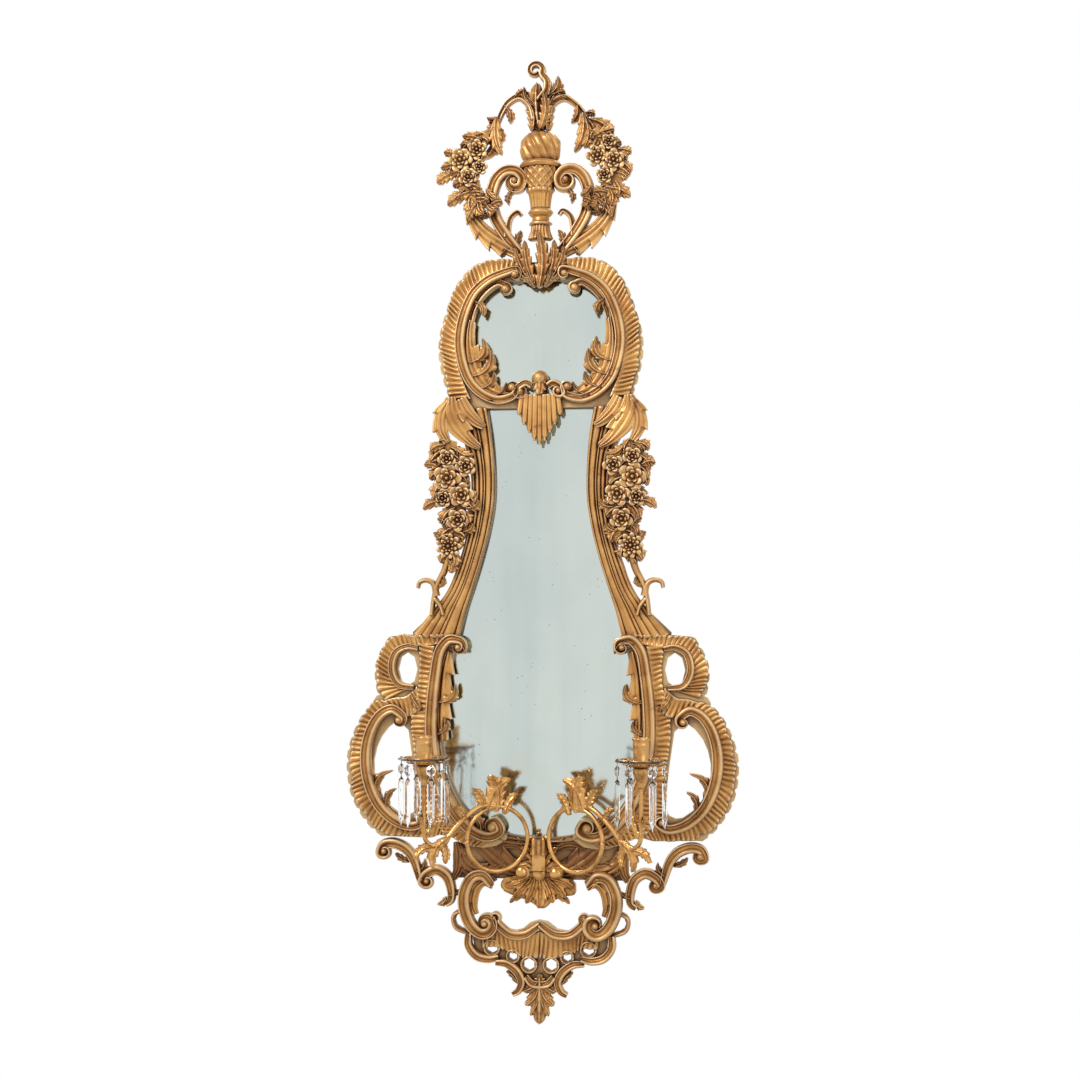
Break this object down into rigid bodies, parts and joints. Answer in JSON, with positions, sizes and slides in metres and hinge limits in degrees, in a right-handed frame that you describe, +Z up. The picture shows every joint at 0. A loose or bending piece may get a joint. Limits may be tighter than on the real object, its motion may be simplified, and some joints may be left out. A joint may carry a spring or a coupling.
{
  "type": "girandole mirror",
  "caption": "Carved and gilded rocaille wall mirror in two tiers, with an urn crest, a pierced shell apron and swivelling candle branches hung with cut-glass drops",
  "frame": {"origin": "on the wall plane, midway between the eyes of the two hanging plates", "axes": "+X to the viewer's right, +Z up, and the front towards -Y; the back lies in the plane Y = 0"},
  "size_m": [0.6282, 0.1735, 1.5429],
  "materials": {
    "gilt_wood": "water-gilded and burnished over bole, rubbed at the high points",
    "bole_pine": "bole-coloured wash",
    "back_pine": "raw aged pine",
    "mirror_glass": "old silvered plate with soft mottling",
    "iron": "dark iron",
    "gilt_brass": "gilded brass",
    "cut_glass": "clear cut glass with brass wire"
  },
  "bodies": {
    "frame": {"upper_carcass": "bole_pine", "right_stile_board": "bole_pine", "left_stile_board": "bole_pine", "bottom_board": "bole_pine", "upper_backboard": "back_pine", "lower_backboard": "back_pine", "backboard_blocks": "back_pine", "upper_mirror_plate": "mirror_glass", "lower_mirror_plate": "mirror_glass", "hanging_plates": "iron", "hanging_screws": "iron", "right_upper_ruffle": "gilt_wood", "left_upper_ruffle": "gilt_wood", "right_upper_scroll": "gilt_wood", "left_upper_scroll": "gilt_wood", "middle_pendant": "gilt_wood", "right_stile_moulding": "gilt_wood", "left_stile_moulding": "gilt_wood", "right_shoulder_leaf": "gilt_wood", "left_shoulder_leaf": "gilt_wood", "right_flower_swag": "gilt_wood", "left_flower_swag": "gilt_wood", "right_side_ruffle": "gilt_wood", "left_side_ruffle": "gilt_wood", "right_side_scroll": "gilt_wood", "left_side_scroll": "gilt_wood", "right_c_scrolls": "gilt_wood", "left_c_scrolls": "gilt_wood", "right_foot_scrolls": "gilt_wood", "left_foot_scrolls": "gilt_wood", "right_apron_scroll": "gilt_wood", "left_apron_scroll": "gilt_wood", "apron_shell": "gilt_wood", "apron_pendant": "gilt_wood", "crest_urn": "gilt_wood", "crest_plume": "gilt_wood", "right_crest_scroll": "gilt_wood", "left_crest_scroll": "gilt_wood", "right_crest_spray": "gilt_wood", "left_crest_spray": "gilt_wood", "arm_bracket": "gilt_brass"},
    "right_branch": {"right_arm": "gilt_brass", "right_drip_pan": "gilt_brass", "right_nozzle": "gilt_brass"},
    "right_drop_1": {"right_drop_1": "cut_glass"},
    "right_drop_2": {"right_drop_2": "cut_glass"},
    "right_drop_3": {"right_drop_3": "cut_glass"},
    "right_drop_4": {"right_drop_4": "cut_glass"},
    "right_drop_5": {"right_drop_5": "cut_glass"},
    "right_drop_6": {"right_drop_6": "cut_glass"},
    "left_branch": {"left_arm": "gilt_brass", "left_drip_pan": "gilt_brass", "left_nozzle": "gilt_brass"},
    "left_drop_1": {"left_drop_1": "cut_glass"},
    "left_drop_2": {"left_drop_2": "cut_glass"},
    "left_drop_3": {"left_drop_3": "cut_glass"},
    "left_drop_4": {"left_drop_4": "cut_glass"},
    "left_drop_5": {"left_drop_5": "cut_glass"},
    "left_drop_6": {"left_drop_6": "cut_glass"}
  },
  "joints": [
    {"name": "right_branch_swivel", "type": "hinge", "parent": "frame", "child": "right_branch", "pos_m": [0.008, -0.05, -0.7104], "axis": [0, 0, -1], "range_deg": [-8, 12]},
    {"name": "right_drop_1_swing", "type": "hinge", "parent": "right_branch", "child": "right_drop_1", "pos_m": [0.20291, -0.13325, -0.5819], "axis": [-0.0349, 0.9994, 0], "range_deg": [-10, 10]},
    {"name": "right_drop_2_swing", "type": "hinge", "parent": "right_branch", "child": "right_drop_2", "pos_m": [0.18383, -0.10272, -0.5819], "axis": [-0.8829, 0.4695, 0], "range_deg": [-10, 10]},
    {"name": "right_drop_3_swing", "type": "hinge", "parent": "right_branch", "child": "right_drop_3", "pos_m": [0.14785, -0.10397, -0.5819], "axis": [-0.848, -0.5299, 0], "range_deg": [-10, 10]},
    {"name": "right_drop_4_swing", "type": "hinge", "parent": "right_branch", "child": "right_drop_4", "pos_m": [0.13095, -0.13576, -0.5819], "axis": [0.0349, -0.9994, 0], "range_deg": [-10, 10]},
    {"name": "right_drop_5_swing", "type": "hinge", "parent": "right_branch", "child": "right_drop_5", "pos_m": [0.15003, -0.16629, -0.5819], "axis": [0.8829, -0.4695, 0], "range_deg": [-10, 10]},
    {"name": "right_drop_6_swing", "type": "hinge", "parent": "right_branch", "child": "right_drop_6", "pos_m": [0.18601, -0.16503, -0.5819], "axis": [0.848, 0.5299, 0], "range_deg": [-10, 10]},
    {"name": "left_branch_swivel", "type": "hinge", "parent": "frame", "child": "left_branch", "pos_m": [-0.008, -0.05, -0.7104], "axis": [0, 0, 1], "range_deg": [-8, 12]},
    {"name": "left_drop_1_swing", "type": "hinge", "parent": "left_branch", "child": "left_drop_1", "pos_m": [-0.14785, -0.10397, -0.5819], "axis": [-0.848, 0.5299, 0], "range_deg": [-10, 10]},
    {"name": "left_drop_2_swing", "type": "hinge", "parent": "left_branch", "child": "left_drop_2", "pos_m": [-0.18383, -0.10272, -0.5819], "axis": [-0.8829, -0.4695, 0], "range_deg": [-10, 10]},
    {"name": "left_drop_3_swing", "type": "hinge", "parent": "left_branch", "child": "left_drop_3", "pos_m": [-0.20291, -0.13325, -0.5819], "axis": [-0.0349, -0.9994, 0], "range_deg": [-10, 10]},
    {"name": "left_drop_4_swing", "type": "hinge", "parent": "left_branch", "child": "left_drop_4", "pos_m": [-0.18601, -0.16503, -0.5819], "axis": [0.848, -0.5299, 0], "range_deg": [-10, 10]},
    {"name": "left_drop_5_swing", "type": "hinge", "parent": "left_branch", "child": "left_drop_5", "pos_m": [-0.15003, -0.16629, -0.5819], "axis": [0.8829, 0.4695, 0], "range_deg": [-10, 10]},
    {"name": "left_drop_6_swing", "type": "hinge", "parent": "left_branch", "child": "left_drop_6", "pos_m": [-0.13095, -0.13576, -0.5819], "axis": [0.0349, 0.9994, 0], "range_deg": [-10, 10]}
  ]
}
